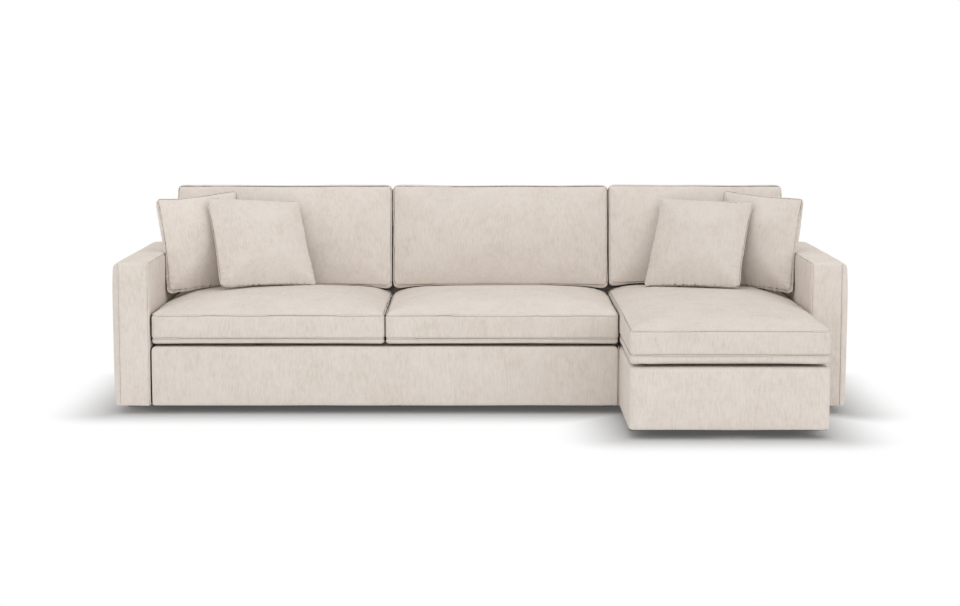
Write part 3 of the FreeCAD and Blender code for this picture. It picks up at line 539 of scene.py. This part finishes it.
def startCushion(spec):
    own, size = ownFrame(spec["node"], spec["turns"], spec.get("pillow", False))
    look = spec["look"]
    mesh = frame["nodes"][spec["node"]].data.copy()
    piece = bpy.data.objects.new(spec["node"].replace("_", " ").title().replace(" ", ""), mesh)
    bpy.context.scene.collection.objects.link(piece)
    takeUp(piece)
    bpy.ops.object.mode_set(mode="EDIT")
    bpy.ops.mesh.select_all(action="SELECT")
    bpy.ops.mesh.remove_doubles(threshold=0.00002)
    bpy.ops.object.mode_set(mode="OBJECT")
    remeshEvenly(piece, look["voxel"])
    smoothOver(piece, 2)
    alongNormals(piece, -look["startSmaller"])
    points = pointsOf(piece)
    spec.update(own=own, size=size, piece=piece, seams=seamPaths(spec, own, size), rest=points)
    pins = piece.vertex_groups.new(name="seams")
    tree = treeOf([p for path, _ in spec["seams"] for p in path])
    for number, point in enumerate(points):
        if tree.find(point)[2] < look["voxel"] * 1.3:
            pins.add([number], 1.0, "REPLACE")


def addCloth(piece):
    piece.modifiers.new("Cloth", "CLOTH")
    settings = piece.modifiers["Cloth"].settings
    settings.quality = 4
    settings.mass = 0.3
    settings.tension_stiffness = 12
    settings.compression_stiffness = 12
    settings.shear_stiffness = 4
    settings.bending_stiffness = 1.2
    settings.use_pressure = True
    settings.uniform_pressure_force = 4
    settings.effector_weights.gravity = 0
    settings.vertex_group_mass = "seams"


def simulate(pieces):
    for piece in pieces:
        addCloth(piece)
    for number in range(1, 21):
        bpy.context.scene.frame_set(number)
    for piece in pieces:
        applyModifiers(piece)
    bpy.context.scene.frame_set(1)


def fillBox(local, low, high):
    # stretches the points to fill the box between two corners
    first, last = local.min(0), local.max(0)
    return (local - first) / (last - first) * (high - low) + low


def fitBoxed(spec, local):
    # fills the cushion's own room; its sides press on their neighbours half way between the seams
    look, size = spec["look"], spec["size"]
    half = size[:2] / 2
    press, flatten, clear = box["press"], box["flatten"], box["clear"]
    local = fillBox(local, np.array([-half[0] - press, -half[1], -flatten]),
                    np.array([half[0] + press, half[1] + look.get("rise", 0), size[2]]))
    local[:, 2] = np.maximum(local[:, 2], 0)
    low = local[:, 2] < look["under"]
    local[low, 2] = look["under"] * (local[low, 2] / look["under"]) ** box["underPower"]
    outwards, upwards = np.abs(local[:, 0]) / half[0], local[:, 1] / half[1]
    sag = smoothStep(0.55, 1.0, outwards) * smoothStep(0, -1.0, upwards)
    local[:, 1] -= look.get("cornerSag", 0) * sag
    middle = look["under"] + look["boxing"] / 2
    offMiddle = np.clip(np.abs(local[:, 2] - middle) / (look["boxing"] / 2), 0, 1)
    limit = half[0] - clear - look["edgeGap"] * offMiddle ** 2
    local[:, 0] = np.clip(local[:, 0], -limit, limit)
    return local


def gatherPillow(spec, points, normals, seed):
    # fine ripples run in from the seam, deeper along the lower edge
    look, half = spec["look"], spec["size"][:2] / 2
    local = intoOwn(points, spec["own"])
    toSide, toEnd = half[0] - abs(local[:, 0]), half[1] - abs(local[:, 1])
    toEdge = np.minimum(toSide, toEnd)
    along = np.where(toSide < toEnd, local[:, 1], local[:, 0])
    ripple = np.array([noise.noise(Vector((a / look["gatherSize"], t / look["gatherRun"], seed)))
                       for a, t in zip(along, toEdge)])
    fade = np.exp(-np.maximum(toEdge, 0) / look["gatherReach"]) * smoothStep(0, 0.012, toEdge)
    low = smoothStep(-0.3, -0.8, local[:, 1] / half[1])
    strength = look["gather"] + (look["lowGather"] - look["gather"]) * low
    return points + normals * (strength * ripple * fade)[:, None]


def settlePillow(spec, local):
    # fills the pillow's room, then leans it aslant, lets one upper corner sag and moves the whole
    own, size = spec["own"], spec["size"]
    half = size[:2] / 2
    local = fillBox(local, -size / 2, size / 2)
    local[:, 0] -= spec["slant"] * local[:, 1]
    sagging = smoothStep(0.0, 1.0, local[:, 1] / half[1]) * spec["sag"]
    local[:, 1] -= sagging * smoothStep(-1.0, 1.0, local[:, 0] / half[0] * spec["lowSide"])
    return intoOwn(outOfOwn(local, own) + np.array(spec["settle"]), own)


def shapeCushion(spec):
    # the simulated cloth gives the fullness, and no point moves further than the cap
    piece, own, look, rest = (spec[key] for key in ("piece", "own", "look", "rest"))
    moved = pointsOf(piece) - rest
    far = np.linalg.norm(moved, axis=1)
    moved *= (np.minimum(far, look["cap"]) / np.maximum(far, 1e-9))[:, None]
    setPoints(piece, rest + moved)
    smoothOver(piece, 3)
    subdivideOnce(piece)
    points, normals = pointsOf(piece), normalsOf(piece)
    seed = sum(ord(letter) for letter in spec["node"]) % 17
    points += normals * (look["uneven"] * unevenness(points, look["unevenSize"], seed))[:, None]
    if spec.get("pillow"):
        points = gatherPillow(spec, points, normals, seed)
        local = settlePillow(spec, intoOwn(points, own))
    else:
        local = fitBoxed(spec, intoOwn(points, own))
    setPoints(piece, outOfOwn(local, own))
    sinkGroove(piece, spec["seams"])
    addWelts(piece, spec["seams"])
    paintedLightGain = look.get("paintedLightGain", 1.0) * spec.get("paintedLightGain", 1.0)
    fabric = makeLinen(f"{piece.name}Linen", own if spec["turns"] else None, paintedLightGain, seed * 0.37)
    piece.data.materials[0] = fabric
    finishPiece(piece, spec["node"], spec["node"])


for spec in cushions:
    startCushion(spec)
print("cushions started")
simulate([spec["piece"] for spec in cushions])
print("cushions blown up")
for spec in cushions:
    shapeCushion(spec)


# Upholstered casings: the arms, the front of the sofa base and the chaise base
def startBlock(name, low, high):
    low, high = Vector(low), Vector(high)
    putDownAll()
    bpy.ops.mesh.primitive_cube_add(size=1, location=(low + high) / 2)
    piece = bpy.context.view_layer.objects.active
    piece.name = name
    piece.data.name = name
    piece.scale = high - low
    bpy.ops.object.transform_apply(location=True, rotation=True, scale=True)
    return piece


def bevelWhere(piece, wanted, radius, segments=5):
    takeUp(piece)
    bpy.ops.object.mode_set(mode="EDIT")
    bpy.ops.mesh.select_mode(type="EDGE")
    bpy.ops.mesh.select_all(action="DESELECT")
    mesh = bmesh.from_edit_mesh(piece.data)
    for edge in mesh.edges:
        if wanted((edge.verts[0].co + edge.verts[1].co) / 2, (edge.verts[0].co - edge.verts[1].co)):
            edge.select_set(True)
    bmesh.update_edit_mesh(piece.data)
    bpy.ops.mesh.bevel(offset=radius, segments=segments, affect="EDGES", profile=0.5)
    bpy.ops.object.mode_set(mode="OBJECT")


def openWhere(piece, wanted, wall):
    # cuts faces away and gives the sheet that is left a wall inwards
    takeUp(piece)
    bpy.ops.object.mode_set(mode="EDIT")
    bpy.ops.mesh.select_mode(type="FACE")
    bpy.ops.mesh.select_all(action="DESELECT")
    mesh = bmesh.from_edit_mesh(piece.data)
    for face in mesh.faces:
        face.select_set(wanted(face.calc_center_median(), face.normal))
    bmesh.update_edit_mesh(piece.data)
    bpy.ops.mesh.delete(type="FACE")
    bpy.ops.object.mode_set(mode="OBJECT")
    addWall(piece, wall)


close = 1e-4  # metres, within which a point lies on a side
arm = {"voxel": 0.0085, "outerBulge": 0.012, "innerBulge": 0.005, "frontRound": 0.010, "edge": 0.004,
       "outerRound": 0.026, "outerSeam": 0.021, "underCover": 0.006, "paddingVoxel": 0.016,
       "paddingWall": 0.005, "crown": 0.0025, "uneven": 0.0013, "unevenSize": 0.21,
       "clear": 0.0002, "seamEnd": 0.004, "fill": 0.95, "paddingFill": 0.9}


def roundOff(points, first, second, radius):
    # presses what lies outside a round of this radius onto it, along the edge of two sides
    (axisA, sideA, signA), (axisB, sideB, signB) = first, second
    a = (points[:, axisA] - sideA) * signA + radius
    b = (points[:, axisB] - sideB) * signB + radius
    far = np.hypot(a, b)
    out = (a > 0) & (b > 0) & (far > radius)
    scale = radius / np.maximum(far, 1e-9)
    points[out, axisA] = (sideA + signA * (a * scale - radius))[out]
    points[out, axisB] = (sideB + signB * (b * scale - radius))[out]


def makeArmPadding(cover, name, node, body):
    # the wadding under the cover has its shape, a little smaller, and a wall of its own
    takeUp(cover)
    bpy.ops.object.duplicate()
    padding = bpy.context.view_layer.objects.active
    padding.name = padding.data.name = f"{name}Padding"
    alongNormals(padding, -arm["underCover"])
    remeshEvenly(padding, arm["paddingVoxel"])
    padding.data.materials.clear()
    padding.data.materials.append(plain["wadding"])
    addWall(padding, arm["paddingWall"])
    finishPiece(padding, body, node.replace("_cover", "_padding"))


def swellArm(points, low, high, lowX, highX, outward):
    # the sides swell between their edges, and the top and the front are a little crowned
    s = (points[:, 0] - (lowX + highX) / 2) * outward / ((highX - lowX) / 2)
    ty = (points[:, 1] - low.y) / (high.y - low.y) * 2 - 1
    tz = (points[:, 2] - low.z) / (high.z - low.z) * 2 - 1
    swell = (1 - np.abs(ty) ** 14) * (1 - np.abs(tz) ** 5)
    tight = (1 - np.abs(ty) ** 24) * (1 - np.abs(tz) ** 8)
    points[:, 0] += outward * arm["outerBulge"] * swell * smoothStep(0.86, 1.0, s)
    points[:, 0] -= outward * arm["innerBulge"] * tight * smoothStep(0.86, 1.0, -s)
    plateau = 1 - np.clip(np.abs(s), 0, 1) ** 4
    behind = smoothStep(0, 0.12, points[:, 1] - low.y)
    below = smoothStep(0, 0.12, high.z - points[:, 2])
    points[:, 2] += arm["crown"] * plateau * smoothStep(0.93, 1.0, tz) * behind
    points[:, 1] -= arm["crown"] * plateau * smoothStep(0.96, 1.0, -ty) * below
    return points


def armSeams(low, high, seamInner, seamOuter):
    # up the front at both its edges; the inner seam goes on over the top and down the rear
    turn, end = arm["frontRound"], low.z + arm["seamEnd"]
    paths = []
    for x in (seamInner, seamOuter):
        path = [Vector((x, low.y, end)), Vector((x, low.y, high.z - turn))]
        for step in range(1, 6):
            angle = math.pi / 2 * step / 6
            path.append(Vector((x, low.y + turn * (1 - math.cos(angle)),
                                high.z - turn * (1 - math.sin(angle)))))
        if x == seamInner:
            path += [Vector((x, low.y + turn, high.z)), Vector((x, high.y, high.z)),
                     Vector((x, high.y, end))]
        paths.append((path, False))
    return paths


def makeArm(name, node, body, outward):
    low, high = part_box(node)
    outer, inner = (low.x, high.x) if outward < 0 else (high.x, low.x)
    seamOuter = outer - outward * arm["outerBulge"]
    seamInner = inner + outward * arm["innerBulge"]
    lowX, highX = min(seamOuter, seamInner), max(seamOuter, seamInner)
    piece = startBlock(name, (lowX, low.y, low.z), (highX, high.y, high.z))
    bevelWhere(piece, lambda middle, way: abs(middle.y - low.y) < close
               and abs(middle.z - high.z) < close, arm["frontRound"], 7)
    bevelWhere(piece, lambda middle, way: abs(middle.y - high.y) < close
               and abs(middle.z - high.z) < close, arm["edge"], 3)
    remeshEvenly(piece, arm["voxel"])
    points = pointsOf(piece)
    roundOff(points, (0, seamOuter, outward), (2, high.z, 1), arm["outerRound"])
    roundOff(points, (0, seamOuter, outward), (1, low.y, -1), arm["outerRound"])
    setPoints(piece, points)
    smoothOver(piece, 4)
    setPoints(piece, swellArm(pointsOf(piece), low, high, lowX, highX, outward))
    lumps = unevenness(pointsOf(piece), arm["unevenSize"], outward + 3)
    alongNormals(piece, arm["uneven"] * lumps)
    points = pointsOf(piece)
    points[:, 0] = np.clip(points[:, 0], low.x + arm["clear"], high.x - arm["clear"])
    setPoints(piece, points)
    makeArmPadding(piece, name, node, body)
    paths = armSeams(low, high, seamInner, seamOuter - outward * arm["outerSeam"])
    sinkGroove(piece, paths, welt["armGrooveDepth"])
    addWelts(piece, paths)
    piece.data.materials[0] = armLinen
    finishPiece(piece, body, node)


makeArm("LeftArm", "left_arm_cover", "sofa_section", -1)
makeArm("RightArm", "right_arm_cover", "chaise_section", 1)

base = {"voxel": 0.009, "topRound": 0.014, "endRound": 0.005, "topCorner": 0.018, "lowCorner": 0.008,
        "foot": 0.006, "corner": 0.022, "frontDepth": 0.02, "lip": 0.045, "chaiseLip": 0.07, "wall": 0.003,
        "crown": 0.003, "uneven": 0.0016, "unevenSize": 0.26, "reach": 0.005, "fill": 0.95}


def dressBase(piece):
    # pushes the front out a little in its middle, then lets the whole lie slightly uneven
    points, normals = pointsOf(piece), normalsOf(piece)
    low, high = points.min(0), points.max(0)
    tx, _, tz = ((points - low) / (high - low) * 2 - 1).T
    facing = smoothStep(0.6, 0.95, -normals[:, 1])
    points[:, 1] -= base["crown"] * (1 - np.abs(tx) ** 20) * (1 - tz ** 4) * facing
    points += normals * (base["uneven"] * unevenness(points, base["unevenSize"], 5))[:, None]
    setPoints(piece, points)


def makeSofaFront():
    low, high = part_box("sofa_front_cover")
    lowX = low.x - base["reach"]
    inset = base["crown"]
    piece = startBlock("SofaFront", (lowX, low.y + inset, low.z), (high.x, high.y, high.z))
    for z, turn in ((high.z, base["topCorner"]), (low.z, base["lowCorner"])):
        bevelWhere(piece, lambda m, way: abs(m.z - z) < close and abs(way.x) < close
                   and abs(way.z) < close, turn, 5)
    bevelWhere(piece, lambda m, way: abs(m.y - low.y - inset) < close and abs(m.z - high.z) < close,
               base["topRound"], 5)
    bevelWhere(piece, lambda m, way: m.y < low.y + inset + base["frontDepth"] and abs(way.x) < close
               and min(abs(m.x - lowX), abs(m.x - high.x)) < close, base["endRound"], 4)
    bevelWhere(piece, lambda m, way: abs(m.y - low.y - inset) < close and abs(m.z - low.z) < close,
               base["foot"], 2)
    remeshEvenly(piece, base["voxel"])
    smoothOver(piece, 3)
    dressBase(piece)
    piece.data.materials.append(linen)
    openWhere(piece, lambda m, n: n.y > 0.7 or (n.z < -0.7 and m.y > low.y + base["lip"]), base["wall"])
    finishPiece(piece, "sofa_section", "sofa_front_cover")


def makeChaiseBase():
    low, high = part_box("chaise_base_cover")
    inset = base["crown"]
    lowX, highX, lowY = low.x + inset / 3, high.x - inset / 3, low.y + inset
    piece = startBlock("ChaiseBase", (lowX, lowY, low.z), (highX, high.y, high.z))
    bevelWhere(piece, lambda m, way: abs(m.y - lowY) < close and abs(way.x) < close
               and abs(way.y) < close, base["corner"], 6)
    bevelWhere(piece, lambda m, way: abs(m.z - high.z) < close and m.y < high.y - close,
               base["topRound"], 5)
    bevelWhere(piece, lambda m, way: abs(m.z - low.z) < close and m.y < high.y - close,
               base["foot"], 2)
    remeshEvenly(piece, base["voxel"])
    smoothOver(piece, 3)
    dressBase(piece)
    points = pointsOf(piece)
    points[:, 0] = np.clip(points[:, 0], low.x + 0.0002, high.x + 0.001)
    setPoints(piece, points)
    piece.data.materials.append(linen)
    lip = base["chaiseLip"]
    openWhere(piece, lambda m, n: n.y > 0.7
              or (abs(n.z) > 0.7 and lowX + lip < m.x < highX - lip and m.y > lowY + lip), base["wall"])
    finishPiece(piece, "chaise_section", "chaise_base_cover")


makeSofaFront()
makeChaiseBase()


# The outside back: a tight flat panel with a welt round it
outsideBack = {"uneven": 0.0012, "unevenSize": 0.30, "seamInset": 0.004, "cuts": 30}


def makeOutsideBack(name, node, body):
    low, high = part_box(node)
    piece = startBlock(name, (low.x, low.y, low.z), (high.x, high.y, high.z))
    takeUp(piece)
    bpy.ops.object.mode_set(mode="EDIT")
    bpy.ops.mesh.select_all(action="SELECT")
    bpy.ops.mesh.subdivide(number_cuts=outsideBack["cuts"])
    bpy.ops.object.mode_set(mode="OBJECT")
    points = pointsOf(piece)
    rear = smoothStep(0.5, 1.0, (points[:, 1] - low.y) / (high.y - low.y))
    lumps = unevenness(points, outsideBack["unevenSize"], 9)
    points[:, 1] += rear * outsideBack["uneven"] * (1 + lumps)
    setPoints(piece, points)
    y = high.y + outsideBack["uneven"]
    inset = outsideBack["seamInset"]
    corners = [(low.x + inset, low.z + inset), (high.x - inset, low.z + inset),
               (high.x - inset, high.z - inset), (low.x + inset, high.z - inset)]
    addWelts(piece, [([Vector((x, y, z)) for x, z in corners], True)], welt["backRadius"])
    piece.data.materials[0] = linen
    finishPiece(piece, body, node)


makeOutsideBack("SofaOutsideBack", "sofa_outside_back_cover", "sofa_section")
makeOutsideBack("ChaiseOutsideBack", "chaise_outside_back_cover", "chaise_section")


# Finishes of the frame's own nodes
nodeFinish = {
    "linen_fabric": linen, "padding": plain["wadding"], "pine_timber": plain["pine"],
    "webbing": plain["webbing"], "dust_cloth": plain["dustCloth"], "foot_plastic": plain["footPlastic"],
    "connector_steel": plain["zincSteel"],
}
for entry in frame["record"]["subparts"]:
    nodeObject = frame["nodes"][entry["node"]]
    finish = nodeFinish[entry["material_slot"]]
    if entry["node"].endswith("_deck"):
        finish = plain["deckCloth"]
    nodeObject.data.materials.clear()
    nodeObject.data.materials.append(finish)
print("frame nodes finished")


# Studio
def makeFloor():
    putDownAll()
    half = studio["floorHalf"]
    bpy.ops.mesh.primitive_plane_add(size=2 * half, location=(0, 0, 0))
    floor = bpy.context.view_layer.objects.active
    floor.name = "Floor"
    material, tree, shader = startMaterial("floor")
    shader.inputs["Base Color"].default_value = (*studio["floorColor"], 1)
    shader.inputs["Roughness"].default_value = 0.9
    shader.inputs["Specular IOR Level"].default_value = 0.1
    # for the camera the floor near the sofa is a diffuse in shadowColor, darker than floorColor: painted
    # shade that deepens the sofa's real shadow
    near = addNode(tree, "ShaderNodeBsdfDiffuse")
    near.inputs["Color"].default_value = (*studio["shadowColor"], 1)
    white = addNode(tree, "ShaderNodeEmission")
    spot = addNode(tree, "ShaderNodeSeparateXYZ")
    tree.links.new(addNode(tree, "ShaderNodeTexCoord").outputs["Object"], spot.inputs[0])
    aways = []
    for middle, reach in studio["stands"]:
        past = []
        for axis, m, r in zip("XY", middle, reach):
            off = mathNode(tree, "ABSOLUTE", mathNode(tree, "SUBTRACT", spot.outputs[axis], m))
            past.append(mathNode(tree, "MAXIMUM", mathNode(tree, "SUBTRACT", off, r), 0.0))
        squared = mathNode(tree, "MULTIPLY", past[1], past[1])
        aways.append(mathNode(tree, "SQRT", mathNode(tree, "MULTIPLY_ADD", past[0], past[0], squared)))
    fade = addNode(tree, "ShaderNodeMapRange", interpolation_type="SMOOTHSTEP")
    fade.inputs["From Min"].default_value = studio["whiteFrom"]
    fade.inputs["From Max"].default_value = studio["whiteBeyond"]
    tree.links.new(mathNode(tree, "MINIMUM", *aways), fade.inputs["Value"])
    toWhite = addNode(tree, "ShaderNodeMixShader")
    seen = addNode(tree, "ShaderNodeMixShader")
    lightPath = addNode(tree, "ShaderNodeLightPath")
    tree.links.new(lightPath.outputs["Is Camera Ray"], seen.inputs[0])
    tree.links.new(shader.outputs[0], seen.inputs[1])
    tree.links.new(fade.outputs["Result"], toWhite.inputs[0])
    tree.links.new(near.outputs[0], toWhite.inputs[1])
    tree.links.new(white.outputs[0], toWhite.inputs[2])
    tree.links.new(toWhite.outputs[0], seen.inputs[2])
    tree.links.new(seen.outputs[0], tree.nodes["Material Output"].inputs["Surface"])
    floor.data.materials.append(material)


def makeWorld():
    world = bpy.data.worlds.new("Studio")
    bpy.context.scene.world = world
    world.use_nodes = True
    tree = world.node_tree
    background = tree.nodes["Background"]
    background.inputs["Color"].default_value = (*studio["skyColor"], 1)
    lightPath = addNode(tree, "ShaderNodeLightPath")
    seen = mathNode(tree, "MAXIMUM", lightPath.outputs["Is Camera Ray"],
                    lightPath.outputs["Is Glossy Ray"])
    strength = mathNode(tree, "MULTIPLY_ADD", seen, 1 - studio["worldLight"], studio["worldLight"])
    tree.links.new(strength, background.inputs["Strength"])


def addLamp(name, place, size, power, target=(0, 0, 0.4)):
    data = bpy.data.lights.new(name, "AREA")
    data.shape = "SQUARE"
    data.size = size
    data.energy = power
    lamp = bpy.data.objects.new(name, data)
    lamp.location = place
    lamp.rotation_euler = (Vector(target) - Vector(place)).to_track_quat("-Z", "Y").to_euler()
    bpy.context.scene.collection.objects.link(lamp)


def makeCamera():
    data = bpy.data.cameras.new("Camera")
    data.sensor_width = 36
    data.lens = studio["lens"]
    data.clip_end = 200
    camera = bpy.data.objects.new("Camera", data)
    camera.location = studio["eye"]
    camera.rotation_euler = Euler((math.radians(90 - studio["pitch"]), 0, 0))
    bpy.context.scene.collection.objects.link(camera)
    bpy.context.scene.camera = camera


makeFloor()
makeWorld()
for lamp in ("key", "fill", "top"):
    addLamp(lamp.title(), studio[f"{lamp}Place"], studio[f"{lamp}Size"], studio[f"{lamp}Power"])
makeCamera()
bpy.context.scene.view_settings.view_transform = "Standard"
print("studio made")
